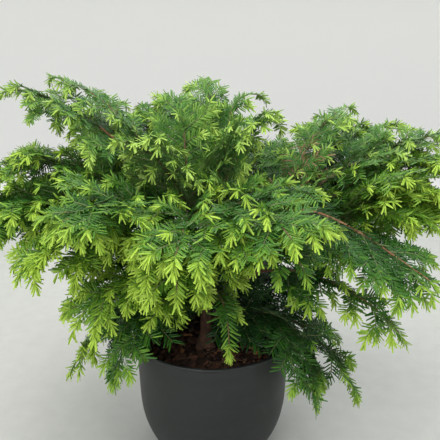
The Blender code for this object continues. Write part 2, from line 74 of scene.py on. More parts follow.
# The pot.
POT_HEIGHT = 0.15
RIM_RADIUS = 0.095
LIP_HEIGHT = 0.0045
LIP_PROUD = 0.0012
LIP_CHAMFER = 0.0004
LIP_ROUND = 0.0012
INNER_CHAMFER = 0.0006
FOOT_CHAMFER = (0.0012, 0.0008)  # in from the wall, and up it
WALL = 0.002
FLOOR = 0.0025
WALL_DRAFT = 0.035
WALL_RINGS = (0.0012, 0.003, *(0.006 * step for step in range(1, 24)))  # heights
SHOULDER_HEIGHT = 0.075
SHOULDER_INSET = 0.023
SHOULDER_POWER = 2.35
DRAIN_HOLES = 6
DRAIN_RADIUS = 0.005
DRAIN_CIRCLE = 0.045
POT_SIDES = 144

# The bark mix in it. Its surface is rough by two noises: seed, scale and height.
SOIL_TOP = 0.138
SOIL_DISH = 0.003
SOIL_LEVEL_TO = 0.066
SOIL_SUNK = 0.0015
SOIL_BUMPS = ((0.3, 55, 0.0022), (4.1, 160, 0.0012))
SOIL_RINGS = (0.006, 0.014, 0.024, 0.036, 0.05, 0.068, 0.105)  # heights
SOIL_EDGE = 0.004  # how far under the top the loose surface starts
SURFACE_RINGS = 26
SOIL_SIDES = 96

# Chips of bark on the mix, and by tint their darkest and palest colour and their odds.
CHIPS = 520
CHIP_SIZES = ((0.006, 0.015), (0.0035, 0.008), (0.0012, 0.0035))
CHIP_CORNERS = 6
CHIP_TILTS = (0.28, 0.22)  # in radians
CHIP_LIFTS = (0.0, 0.0006, 0.0016, 0.0028)
CHIP_TAPER = 0.86  # from the lower face to the upper
CHIP_TINTS = (
    ("chip_dark", ((0.02, 0.009, 0.006), (0.05, 0.021, 0.012)), 8),
    ("chip_red", ((0.05, 0.018, 0.01), (0.115, 0.045, 0.022)), 8),
    ("chip_brown", ((0.065, 0.032, 0.018), (0.14, 0.075, 0.04)), 4),
    ("chip_orange", ((0.2, 0.085, 0.03), (0.36, 0.17, 0.065)), 2),
)
FIBRES = 46
FIBRE_LENGTHS = (0.008, 0.022)
FIBRE_RADII = (0.0003, 0.00018)

# The woody parts.
TRUNK_FOOT = Vector((-0.008, -0.018, SOIL_TOP + GAP))
TRUNK_TIP = Vector((-0.025, 0.015, 0.315))
TRUNK_LEAN = Vector((0.006, 0.004, 0.0))
TRUNK_RADII = (0.0085, 0.003)
FLARE_RADIUS = 0.014
FLARE_HEIGHT = 0.02
STEM_RADII = (0.005, 0.0026)
BOUGH_RADII = (0.003, 0.0019)
TWIG_RADII = (0.0017, 0.0006)
# Stems: name, height on the trunk and tip.
STEMS = (
    ("right", 0.187, Vector((0.06, -0.01, 0.3))),
    ("back", 0.205, Vector((0.015, 0.06, 0.305))),
)
STEM_ELBOW = 0.55
STEM_RISES = (0.02, 0.05)
# Bark: sides of a limb, step of its rings, depth of the furrows to the radius, seed of
# the first limb, and how far it runs on into its mass.
BARKS = {
    "trunk": (28, 0.0022, 0.16, 0.0, 0.0),
    "stem": (20, 0.0022, 0.14, 10.0, 0.0),
    "bough": (12, 0.0025, 0.12, 20.0, 0.002),
    "stout": (10, 0.0016, 0.34, 50.0, 0.0),
}
FURROW_ROUND = 2.2
FURROW_LENGTH = 0.011
FURROW_SCALES = (1.5, 3.7)
ROOT_LOBES = 4
LOBE_DEPTH = 0.22

# Tiers: degrees that a bough climbs at its root and falls at its tip (up is above 0),
# how long each end holds its course, its bare share, then its side stems: their length
# to that of the mass, their droop and the step between them.
TIER_TERMS = ("climb", "fall", "holds", "bare", "spread", "droop", "step")
TIERS = {
    tier: dict(zip(TIER_TERMS, terms))
    for tier, *terms in (
        ("top", 52, 8, (0.38, 0.33), 0.2, 0.46, (0.0, 0.14), 0.023),
        ("crest", 80, -12, (0.55, 0.45), 0.2, 0.46, (0.0, 0.14), 0.023),
        ("upper", 42, -22, (0.38, 0.33), 0.22, 0.5, (0.04, 0.2), 0.023),
        ("middle", 33, -50, (0.4, 0.33), 0.25, 0.5, (0.06, 0.24), 0.023),
        ("skirt", 30, -60, (0.42, 0.45), 0.0, 0.44, (0.06, 0.24), 0.027),
        ("drape", 30, -86, (0.45, 0.7), 0.0, 0.44, (0.06, 0.24), 0.027),
    )
}

# Foliage by parent, from the foot of the parent to its tip: name, azimuth, reach from
# the axis and height of the tip, and where it is narrower or wider than its tier, the
# factors at its root and tip. The tier is the name's first word but for OTHER_TIERS.
FOLIAGE = {
    "trunk": (
        ("skirt_back_right", 44, 0.165, 0.152, 1.2, 0.8),
        ("skirt_front_right", 332, 0.136, 0.089, 1.0, 1.3),
        ("skirt_right", 348, 0.169, 0.099, 0.6, 1.3),
        ("skirt_back", 82, 0.156, 0.146),
        ("skirt_left", 194, 0.171, 0.119, 0.85, 0.7),
        ("skirt_back_left", 147, 0.16, 0.112),
        ("skirt_front_left", 212, 0.128, 0.144, 1.2, 1.7),
        ("skirt_front", 282, 0.092, 0.169, 0.35, 0.8),
        ("middle_front_left", 223, 0.18, 0.22, 1.0, 0.75),
        ("middle_left", 184, 0.252, 0.29, 1.0, 1.5),
        ("middle_back_left", 152, 0.258, 0.29),
        ("middle_front", 260, 0.169, 0.268, 0.75, 0.9),
        ("middle_left_front", 206, 0.214, 0.263, 1.0, 0.9),
        ("middle_front_right", 298, 0.181, 0.284, 0.9, 0.7),
        ("upper_left", 172, 0.262, 0.346, 1.0, 0.9),
        ("upper_front_left", 231, 0.208, 0.33),
        ("upper_front", 262, 0.2, 0.312),
        ("upper_front_inner", 291, 0.196, 0.322),
        ("top_left", 166, 0.248, 0.437, 0.3, 1.2),
        ("top_front_left", 222, 0.118, 0.392),
        ("top_front_right", 349, 0.068, 0.408, 1.0, 1.3),
        ("top_inner_left", 160, 0.208, 0.451, 0.22, 0.6),
        ("top_inner", 122, 0.076, 0.426, 0.8, 1.1),
    ),
    "right": (
        ("middle_right", 358, 0.265, 0.299),
        ("middle_right_back", 29, 0.262, 0.29),
        ("middle_right_front", 327, 0.227, 0.203, 0.55, 0.6),
        ("upper_right", 3, 0.272, 0.346),
        ("upper_right_back", 38, 0.284, 0.366),
        ("top_outer_right", 12, 0.28, 0.381),
        ("top_right", 23, 0.184, 0.415, 0.45, 0.65),
        ("upper_front_right", 331, 0.247, 0.26, 1.0, 1.35),
    ),
    "back": (
        ("middle_back", 115, 0.252, 0.29),
        ("middle_back_right", 72, 0.25, 0.324),
        ("upper_back", 110, 0.243, 0.401),
        ("upper_back_left", 138, 0.25, 0.388),
        ("top_back_right", 56, 0.109, 0.427, 0.35, 0.45),
        ("top_back", 95, 0.152, 0.447, 0.7, 0.65),
    ),
}
OTHER_TIERS = {
    "skirt_front_right": "drape", "skirt_front_left": "drape", "skirt_front": "drape",
    "top_back_right": "crest",
}
# These masses start at the trunk or stem itself, as those of the lowest tiers do.
WITHOUT_BOUGH = (
    "top_front_left", "top_front_right", "top_inner_left", "top_inner", "top_back", "top_back_right",
    "top_right", "middle_front", "middle_front_left", "middle_front_right", "upper_front_inner",
)
BARE = 0.25  # the share of a mass's stem without needles
# The two masses whose tan stem shows: its radii, and its own share without needles.
STOUT = {"upper_front_right": ((0.0019, 0.001), 0.7), "top_left": ((0.0019, 0.0009), 0.6)}
LEAVES_PARENT = {"trunk": (0.12, 0.97), "right": (0.2, 0.94), "back": (0.24, 0.94)}
SWAY = 0.09
FEWEST_SPRAYS = 5
SPRAY_PLACES = (0.07, 0.8)
SPRAY_ANGLES = (62, 42)
SPRAY_TURN = 7
SPRAY_TILT = (2, 24)
SPRAY_SCATTER = (0.88, 1.12)
SPRAY_TAPER = 0.55
FIRST_LENGTH = 0.75
HALF_WIDTH_SHARE = 0.32
LEAST_HALF_WIDTH = 0.009
INTERLEAVE = 0.012  # how far twigs of neighbouring masses reach in among each other
LAYERING = 1.5  # heights count for more than widths when space is shared out
OFF_LIMBS = 0.0018
OFF_POT = 0.003
LOWEST = 0.012
SAMPLE = 0.003

# The ranks of side stems: label, steps further along, hand, tilt out of the plane,
# length, and whether it lies above the plane (1), under it (-1) or by turns (0).
RANKS = (
    ("", 0.0, 1, SPRAY_TILT, 1.0, 0),
    (" second", 0.4, -1, SPRAY_TILT, 1.0, 0),
    (" third", 0.65, 1, (28, 60), 0.6, 1),
    (" fourth", 0.25, -1, (30, 65), 0.55, -1),
)
MORE_RANKS = (
    (" fifth", 0.8, -1, SPRAY_TILT, 0.9, 0),
    (" sixth", 0.5, 1, (20, 45), 0.8, 1),
)
DENSE = (
    "skirt_left", "skirt_back_right", "skirt_back", "skirt_back_left", "middle_left",
    "middle_left_front", "middle_back_right", "middle_back", "middle_back_left", "middle_right",
)
# Nothing hangs below the plane of these past this share, so their fringe shows singly.
CLEAR_BELOW = (
    "middle_front_left", "middle_front", "middle_front_right", "middle_right_front",
    "middle_left_front", "skirt_front",
)
CLEAR_FROM = 0.4

# The fine growth of a spray.
NEEDLE_PAST = 0.006  # how far needles reach past the end of their twig
TWIG_STEP = 0.0115  # from one side twig of a spray to the next
TWIG_PLACES = (0.14, 0.9)
TWIG_LIMITS = (0.1, 0.93)
TWIG_STRAY = 0.2
TWIG_ANGLES = (56, 42)
TWIG_TURN = 6
TWIG_TILT = 12
TWIG_SCATTER = (0.85, 1.2)
TWIG_DROOP = (0.05, 0.25)
TWIG_INSET = 0.002
SPRAY_ROUND = (0.28, 0.52)  # the part of a half wave that bounds a spray
# What is tried till a twig fits: shares of its reach, the least reach, how far needles
# reach past it, and the places along it that have to be clear.
SPRAY_TRIALS = ((1.0, 0.82, 0.66, 0.5), 0.018, NEEDLE_PAST, (0.35, 0.6, 0.8, 1.0))
TWIG_TRIALS = ((1.0, 0.75, 0.55), 0.008, 0.0, (0.6, 1.0))
LATERAL_RADII = (0.001, 0.0005)
SIDE_RADII = (0.00055, 0.00035)
SHOOT_RADII = (0.00045, 0.00025)
SPINE_RING, LATERAL_RING = 0.012, 0.016
SPINE, OLIVE, TENDER = range(3)

# Tints of the needles from the oldest to the newest: upper face, lower face.
TINTS = {
    "deep": ((0.01, 0.05, 0.008), (0.026, 0.076, 0.019)),
    "dark": ((0.018, 0.079, 0.009), (0.041, 0.107, 0.023)),
    "mid": ((0.034, 0.123, 0.012), (0.064, 0.155, 0.029)),
    "green": ((0.059, 0.17, 0.015), (0.094, 0.2, 0.034)),
    "light": ((0.104, 0.236, 0.019), (0.138, 0.26, 0.04)),
    "lime": ((0.174, 0.328, 0.029), (0.196, 0.328, 0.05)),
    "fresh": ((0.256, 0.425, 0.04), (0.262, 0.402, 0.062)),
    "new": ((0.345, 0.52, 0.053), (0.33, 0.475, 0.076)),
    "dry": ((0.205, 0.14, 0.04), (0.235, 0.165, 0.058)),
}
LIME, NEW, DRY = (list(TINTS).index(name) for name in ("lime", "new", "dry"))
# Some needles have dried where the upper right boughs part.
DRY_AT = np.array([0.098, 0.018, 0.348])
DRY_RADIUS = 0.048
DRY_SHARE = 0.26
PAINTED_SHEEN_BLUE = 1.6  # the factor on blue in the highest storey, a painted sheen of light on its needles
PAINTED_SHEEN_TIERS = ("top", "crest")
# By tier: the tones of the oldest and of the newest needles, as places among the tints,
# and the share of the twigs that end in a fresh shoot. The tones are lighter in the higher
# storeys and darker in the lower, partly for the older needles below and partly as painted
# light and shade.
TONES_AND_PAINTED_LIGHT = {
    "top": (2.2, 4.6, 0.66),
    "upper": (1.7, 4.4, 0.72),
    "middle": (1.3, 4.2, 0.72),
    "skirt": (0.1, 1.9, 0.1),
}
TONES_AND_PAINTED_LIGHT["crest"], TONES_AND_PAINTED_LIGHT["drape"] = TONES_AND_PAINTED_LIGHT["top"], TONES_AND_PAINTED_LIGHT["skirt"]
# Masses with a look of their own, in the same terms. Their tones are partly painted light,
# raised on masses that lie in the shadow of others, and partly painted shade, lowered
# where they hang under the crown; the share of fresh shoots is their own.
MOODS_AND_PAINTED_LIGHT = {
    "skirt_front": (1.4, 4.6, 0.85),
    "skirt_front_right": (0.8, 3.5, 0.45),
    "skirt_right": (1.0, 3.8, 0.5),
    "skirt_left": (1.5, 4.7, 0.7),
    "skirt_front_left": (0.6, 3.0, 0.4),
    "middle_front_left": (3.0, 5.6, 0.9),
    "middle_left_front": (3.4, 6.0, 0.9),
    "middle_front": (2.3, 5.6, 0.95),
    "middle_front_right": (0.6, 2.7, 0.25),
    "upper_front": (1.9, 4.7, 0.85),
    "upper_front_inner": (1.5, 4.1, 0.6),
    "upper_left": (2.3, 4.7, 0.75),
    "top_inner": (3.0, 5.0, 0.7),
    "top_front_left": (3.0, 5.0, 0.72),
    "top_front_right": (2.8, 4.9, 0.68),
    "upper_front_right": (0.3, 3.4, 0.65),
    "upper_right": (2.6, 5.0, 0.8),
    "middle_right": (3.4, 5.4, 0.85),
    "upper_front_left": (1.1, 4.1, 0.72),
    "middle_right_front": (1.3, 4.8, 0.8),
}
TONE_SCATTER = 0.6  # from needle to needle
SPRAY_TONE_SCATTER = 0.35  # from side stem to side stem
SHOOT_TONES = (1, 3.4)  # a shoot is this much newer than the twig that it ends
# Under the crown, needle tones drop by up to this as painted shade, except on the masses that catch
# the light.
SHADE_DEPTH = 2.2
SHADE_INSIDE, SHADE_UNDER, SHADE_BLEND = 0.15, 0.3, 0.06
SUNLIT = ("skirt_front", "middle_front", "middle_front_left", "middle_left_front", "skirt_left")


class Row(NamedTuple):
    """How two ranks of needles stand along a stretch of a twig."""

    step: float
    lengths: tuple
    widths: tuple
    angles: tuple = (66, 44)
    spread: float = 5  # scatter of the angles
    lift: float = 4  # angle out of the plane of the ranks
    rise: float = 6  # its scatter
    sag: float = 0.0
    roll: float = 12
    palest: int = NEW


ROWS = {
    "top": Row(0.0024, (0.0105, 0.0115), (0.0018, 0.0019)),
    "upper": Row(0.0025, (0.0115, 0.0125), (0.0018, 0.0019)),
    "middle": Row(0.0026, (0.012, 0.0135), (0.002, 0.0021)),
    "skirt": Row(0.003, (0.013, 0.0145), (0.0021, 0.0022)),
    "drape": Row(0.003, (0.013, 0.0145), (0.002, 0.0021)),
}
ROWS["crest"] = ROWS["top"]
SPINE_ANGLES, TWIG_NEEDLE_ANGLES = (68, 42), (64, 42)
SPINE_THINNER = 1.15
TWIG_NEEDLES_SHORTER = (0.001, 0.0005)
# A shoot has two pairs of ranks, across each other: where each starts, and how it stands.
SHOOT_ROWS = (
    (0.0, Row(0.0015, (0.0098, 0.011), (0.0021, 0.0022), (64, 14), 11, -2, 20, 0.22, 28)),
    (0.1, Row(0.0028, (0.0086, 0.0094), (0.0021, 0.0021), (56, 18), 11, 4, 18, 0.2, 32)),
)
SHOOT_REACH = (0.75, 1.2)
SHOOT_NOD = (0.25, 0.75)
END_SHOOT, SPRAY_SHOOTS, TWIG_SHOOTS = 0.012, (0.008, 0.012), (0.006, 0.01)
NEEDLE_STAGGER = 0.25
NEEDLE_STRAY = 0.15
NEEDLE_LENGTHS = (0.88, 1.1)
NEEDLE_WIDTHS = (0.92, 1.08)
# A needle: height of its midrib to its width, place of its shoulders, width of its tip,
# and its triangles, with those of the upper face first.
RIB_SHARE = 0.28
SHOULDER_AT = 0.24
TIP_SHARE = 0.6
NEEDLE_FACES = np.array(
    [[3, 0, 2], [3, 2, 5], [3, 5, 4], [3, 4, 1], [3, 1, 0], [0, 1, 4], [0, 4, 5], [0, 5, 2]]
)
UPPER_FACES = 5

# The stage: rings of its floor, its sweep and its wall. Lights: name, place, target,
# size, power and colour.
STAGE_RINGS = (0.6, 1.3, 2.2)
STAGE_FINISH_TO = 1.3
STAGE_SWEEP = 0.7
STAGE_STEPS = 12
STAGE_WALL = (2.9, 1.6)
STAGE_SIDES = 64
LIGHTS = (
    ("key", (-0.3, -0.28, 1.6), (0.0, 0.0, 0.25), 1.1, 14.5, (1.0, 0.98, 0.94)),
    ("front", (-0.9, -1.35, 0.85), (0.0, 0.0, 0.15), 1.2, 14.0, (1.0, 0.99, 0.96)),
    ("fill", (0.75, -0.45, 1.35), (0.0, 0.0, 0.25), 1.0, 8.0, (0.96, 0.98, 1.0)),
    ("back", (0.2, 1.2, 1.4), (0.0, 0.0, 0.3), 1.0, 9.0, (1.0, 1.0, 1.0)),
)
WORLD_COLOUR = (0.96, 0.98, 1.0)
WORLD_STRENGTH = 0.6


def tier_of(name):
    return OTHER_TIERS.get(name, name.split("_")[0])


# Curves


def curve_point(curve, t):
    """A point of a cubic curve, given by its two ends and two handles."""
    start, leave, arrive, end = curve
    s = 1.0 - t
    return s**3 * start + 3 * s * s * t * leave + 3 * s * t * t * arrive + t**3 * end


def curve_slope(curve, t):
    """A third of a curve's slope."""
    start, leave, arrive, end = curve
    s = 1.0 - t
    return s * s * (leave - start) + 2 * s * t * (arrive - leave) + t * t * (end - arrive)


def curve_heading(curve, t):
    return curve_slope(curve, t).normalized()


def curve_length(curve, steps=24):
    points = [curve_point(curve, step / steps) for step in range(steps + 1)]
    return sum((b - a).length for a, b in zip(points, points[1:]))


def between(ends, share):
    return ends[0] + (ends[1] - ends[0]) * share


def polar(radius, turn, height=0.0):
    return Vector((radius * cos(turn), radius * sin(turn), height))


def arch(start, tip, tier, sway):
    """The curve of a bough: it climbs away from its parent and bends over to its tip."""
    chord = tip - start
    outward = Vector((chord.x, chord.y, 0.0)).normalized()
    across = UP.cross(outward)
    climb, fall = radians(tier["climb"]), radians(tier["fall"])
    leave = outward * cos(climb) + UP * sin(climb) + across * sway
    arrive = outward * cos(fall) + UP * sin(fall) - across * sway
    first, last = tier["holds"]
    return (start, start + leave * first * chord.length, tip - arrive * last * chord.length, tip)


def bent(base, leave, reach, droop):
    """The curve of a twig that leaves in one direction and sags evenly."""
    run, sag = leave * reach, UP * (-droop * reach)
    return (base, base + run / 3, base + run * (2 / 3) + sag / 3, base + run + sag)


def level_across(curve):
    """The level direction across a curve's chord."""
    chord = curve[3] - curve[0]
    return UP.cross(Vector((chord.x, chord.y, 0.0))).normalized()


def square_to(heading, side):
    """What is left of a direction once it is made square to a heading."""
    return (side - heading * side.dot(heading)).normalized()


def fork(heading, across, hand, tilt, angle):
    """The way of a twig that leaves a stem on one hand, and the side of its flat spray."""
    outward = across * hand * cos(tilt) + heading.cross(across) * sin(tilt)
    leave = heading * cos(angle) + outward * sin(angle)
    return leave, outward * cos(angle) - heading * sin(angle)


def unit(rows):
    return rows / np.linalg.norm(rows, axis=-1, keepdims=True)


def along(curve, shares):
    """Points and headings at these shares of a curve, as rows."""
    curve, shares = [np.array(point) for point in curve], shares[:, None]
    return curve_point(curve, shares), unit(curve_slope(curve, shares))


# Growth, by the rule of the solids


def wall_radius(height):
    """The pot's outer radius at a height, under its lip."""
    draft = WALL_DRAFT * (POT_HEIGHT - height)
    tuck = SHOULDER_INSET * max(0.0, 1.0 - height / SHOULDER_HEIGHT) ** SHOULDER_POWER
    return RIM_RADIUS - LIP_PROUD - draft - tuck


class Crown:
    """Where every limb and every mass of foliage lies.

    A limb is a curve, the span of it that the wood takes up, and its radii. A mass is
    a curve, the share of it at which the mass starts, its tier and its widths.
    """

    def __init__(self):
        rise = UP * (TRUNK_TIP - TRUNK_FOOT).length / 3
        trunk = (TRUNK_FOOT, TRUNK_FOOT + rise + TRUNK_LEAN, TRUNK_TIP - rise, TRUNK_TIP)
        self.limbs = {"trunk": (trunk, (0.0, 1.0), TRUNK_RADII)}
        for name, height, tip in STEMS:
            share = (height - TRUNK_FOOT.z) / (TRUNK_TIP.z - TRUNK_FOOT.z)
            start = curve_point(trunk, share)
            outward = Vector((tip.x - start.x, tip.y - start.y, 0.0)) * STEM_ELBOW
            curve = (start, start + outward + UP * STEM_RISES[0], tip - UP * STEM_RISES[1], tip)
            self.limbs[name] = (curve, (0.0, 1.0), STEM_RADII)
        self.masses = {}
        for parent, rows in FOLIAGE.items():
            for number, row in enumerate(rows):
                self.grow(parent, number / (len(rows) - 1), *row)
        self.fill_space()

    def grow(self, parent, place, name, azimuth, reach, height, *widths):
        """Adds one bough and the mass that it enters."""
        start = curve_point(self.limbs[parent][0], between(LEAVES_PARENT[parent], place))
        tip, tier = polar(reach, radians(azimuth), height), TIERS[tier_of(name)]
        curve = arch(start, tip, tier, random.Random(name).uniform(-SWAY, SWAY))
        root, bare = 0.0, tier["bare"]
        if name not in WITHOUT_BOUGH and bare > 0.0:
            self.limbs[name] = (curve, (0.0, bare), BOUGH_RADII)
            root = bare + JOINT / curve_length(curve)
        self.masses[name] = (curve, root, tier, widths or (1.0, 1.0))

    def fill_space(self):
        """Lists points along every limb and along the stem of every mass."""
        self.woody = [
            (point, between(radii, share))
            for curve, span, radii in self.limbs.values()
            for share, point in sampled(curve, span)
        ]
        self.wood = tree_of([point for point, _ in self.woody])
        lines = {
            name: [point for _, point in sampled(curve, (root, 1.0))]
            for name, (curve, root, *_) in self.masses.items()
        }
        self.own = {name: tree_of(layered(points)) for name, points in lines.items()}
        self.others = {}
        for name in lines:
            rest = [point for other in lines if other != name for point in lines[other]]
            self.others[name] = tree_of(layered(rest))

    def sprout(self, name, parent, place, side, way, reach, droop, trials):
        """The longest twig of a mass that keeps to its own space.

        It leaves its parent at a place and in a way that fork tells. What comes back is
        its curve, or nothing where none fits, the side of its flat spray, and its reach.
        """
        heading = curve_heading(parent, place)
        leave, flat = fork(heading, square_to(heading, side), *way)
        sizes, shortest, past, tests = trials
        for size in sizes:
            if reach * size < shortest:
                break
            twig = bent(curve_point(parent, place), leave, reach * size - past, droop)
            if all(self.holds(name, curve_point(twig, test)) for test in tests):
                return twig, flat, reach * size
        return None, flat, 0.0

    def holds(self, name, point):
        """Whether a point of a mass is in its own space, clear of wood and pot."""
        (place,) = layered([point])
        if self.own[name].find(place)[2] > self.others[name].find(place)[2] + INTERLEAVE:
            return False
        for _, index, away in self.wood.find_range(point, FLARE_RADIUS + OFF_LIMBS):
            if away < self.woody[index][1] + OFF_LIMBS:
                return False
        return clear_of_pot(point)


def sampled(curve, span):
    """Shares of a span of a curve, about SAMPLE apart or less, and the points there."""
    steps = round(curve_length(curve) / SAMPLE)
    shares = (step / steps for step in range(steps + 1))
    return [(share, curve_point(curve, between(span, share))) for share in shares]


def layered(points):
    return [Vector((point.x, point.y, point.z * LAYERING)) for point in points]


def tree_of(points):
    tree = KDTree(len(points))
    for index, point in enumerate(points):
        tree.insert(point, index)
    tree.balance()
    return tree


def clear_of_pot(point):
    radius = hypot(point.x, point.y)
    if point.z > POT_HEIGHT + OFF_POT:
        return True
    if radius < wall_radius(POT_HEIGHT) - WALL - OFF_POT:
        return point.z > SOIL_TOP + OFF_POT
    return radius > RIM_RADIUS + OFF_POT and point.z > LOWEST


def laterals(crown, name):
    """The side stems of one mass: curve, direction across, length and place along the stem."""
    curve, root, tier, widths = crown.masses[name]
    length = curve_length(curve) * (1.0 - root)
    level = level_across(curve)
    count = max(FEWEST_SPRAYS, round(length / tier["step"]))
    ranks = RANKS + MORE_RANKS if name in DENSE else RANKS
    for index in range(count):
        for label, further, turned_over, tilts, shorter, above in ranks:
            share = between(SPRAY_PLACES, (index + further) / (count - 1))
            if above == 1 and name in STOUT:
                continue
            if above == -1 and name in CLEAR_BELOW and share > CLEAR_FROM:
                continue
            chance = random.Random(f"{name} {index}" + label)
            t = between((root, 1.0), share)
            hand = (1 if index % 2 else -1) * turned_over
            lift = above or (1 if index % 4 in (1, 2) else -1) * turned_over
            tilt = radians(chance.uniform(*tilts)) * lift
            turn = chance.uniform(-SPRAY_TURN, SPRAY_TURN)
            way = (hand, tilt, radians(between(SPRAY_ANGLES, share) + turn))
            reach = between(widths, share) * tier["spread"] * length
            reach = reach * (1.0 - share) ** SPRAY_TAPER * min(1.0, FIRST_LENGTH + share)
            reach *= chance.uniform(*SPRAY_SCATTER) * shorter
            droop = chance.uniform(*tier["droop"])
            made = crown.sprout(name, curve, t, level, way, reach, droop, SPRAY_TRIALS)
            if made[0]:
                yield *made, share


# Needles and twigs


def blades(rows):
    """Vertices, triangles and a material number per triangle, for rows of needles.

    A needle is a closed narrow blade: its base, two shoulders, a raised midrib
    and a blunt tip. Its upper face is green and its lower face pale.
    """
    points, ways, flats, lengths, widths, tints = (np.concatenate(part) for part in zip(*rows))
    run = ways * lengths[:, None]
    half = flats * widths[:, None] / 2
    rib = np.cross(ways, flats) * (widths * RIB_SHARE)[:, None]
    blade = [
        points,
        points + run * SHOULDER_AT + half,
        points + run * SHOULDER_AT - half,
        points + run * 0.5 + rib,
        points + run + half * TIP_SHARE,
        points + run - half * TIP_SHARE,
    ]
    faces = NEEDLE_FACES[None] + len(blade) * np.arange(len(points))[:, None, None]
    kinds = 2 * tints[:, None] + (np.arange(len(NEEDLE_FACES)) >= UPPER_FACES)
    return np.stack(blade, axis=1).reshape(-1, 3), faces.reshape(-1, 3), kinds.reshape(-1)


def ranks(curve, side, span, row, tones, chance):
    """The two ranks of needles along part of a twig, as rows.

    They lie in the plane of the twig and of side, with their green face up.
    """
    first, last = span
    length = curve_length(curve, 6) * (last - first)
    count = int(length / row.step)
    if count < 1:
        return
    for hand in (1, -1):
        stray = chance.uniform(-NEEDLE_STRAY, NEEDLE_STRAY, count)
        steps = np.clip((np.arange(count) + 0.5 + NEEDLE_STAGGER * hand + stray) / count, 0.0, 1.0)
        points, headings = along(curve, first + (last - first) * steps)
        flat_side = np.array(side)
        across = unit(flat_side - (headings @ flat_side)[:, None] * headings)
        normal = np.cross(headings, across)
        normal = normal * np.where(normal[:, 2:] < 0, -1.0, 1.0)
        angle = np.radians(between(row.angles, steps) + chance.normal(0, row.spread, count))
        rise = np.radians(chance.normal(row.lift, row.rise, count))
        ways = headings * np.cos(angle)[:, None] + across * (hand * np.sin(angle))[:, None]
        ways = ways * np.cos(rise)[:, None] + normal * np.sin(rise)[:, None]
        ways = unit(ways - np.array([0.0, 0.0, row.sag]) * steps[:, None])
        flats = unit(np.cross(normal, ways))
        roll = np.radians(chance.normal(0, row.roll, count))[:, None]
        flats = flats * np.cos(roll) + np.cross(ways, flats) * np.sin(roll)
        lengths = between(row.lengths, steps) * chance.uniform(*NEEDLE_LENGTHS, count)
        widths = between(row.widths, steps) * chance.uniform(*NEEDLE_WIDTHS, count)
        tone = between(tones, steps) + chance.normal(0, TONE_SCATTER, count)
        tints = np.clip(np.floor(tone), 0, row.palest).astype(int)
        near_patch = 1.0 - np.linalg.norm(points - DRY_AT, axis=1) / DRY_RADIUS
        if near_patch.max() > 0.0:
            dried = 2.0 * DRY_SHARE * np.clip(near_patch, 0.0, 0.5)
            tints[chance.random(count) < dried] = DRY
        yield points, ways, flats, lengths, widths, tints


def tubes(rows):
    """Vertices, triangles and a material number per triangle, for rows of closed tubes.

    A row is a curve, the span of it, two radii, sides, rings and a material number.
    """
    points, everything, kinds, total = [], [], [], 0
    for curve, first, last, radii, sides, rings, kind in rows:
        steps = np.linspace(0.0, 1.0, rings)
        centres, headings = along(curve, first + (last - first) * steps)
        probe = np.array([0.0, 0.0, 1.0] if abs(headings[0, 2]) < 0.9 else [1.0, 0.0, 0.0])
        across = unit(np.cross(probe, headings))
        other = np.cross(headings, across)
        turn = (tau * np.arange(sides) / sides)[None, :, None]
        spokes = across[:, None] * np.cos(turn) + other[:, None] * np.sin(turn)
        made = (centres[:, None] + spokes * between(radii, steps)[:, None, None]).reshape(-1, 3)
        points += [made, centres[-1:] + headings[-1:] * radii[1]]
        side = np.arange(sides)
        after = (side + 1) % sides
        faces = []
        for low in range(0, (rings - 1) * sides, sides):
            high = low + sides
            faces.append(np.stack([low + side, low + after, high + after], axis=1))
            faces.append(np.stack([low + side, high + after, high + side], axis=1))
        top = (rings - 1) * sides
        faces.append(np.stack([top + side, top + after, np.full(sides, rings * sides)], axis=1))
        faces.append(np.array([[0, s + 1, s] for s in range(1, sides - 1)]))
        faces = np.vstack(faces)
        everything.append(faces + total)
        kinds.append(np.full(len(faces), kind))
        total += len(made) + 1
    return np.vstack(points), np.vstack(everything), np.concatenate(kinds)


def shade(name, point):
    """How deep a point lies in the dark under the crown, from 0 to 1: there the needles' tones drop
    as painted shade, and fresh shoots are fewer.
    """
    if name in SUNLIT:
        return 0.0
    inside = (SHADE_INSIDE - hypot(point.x, point.y)) / SHADE_BLEND
    under = (SHADE_UNDER - point.z) / SHADE_BLEND
    return min(max(inside, 0.0), 1.0) * min(max(under, 0.0), 1.0)


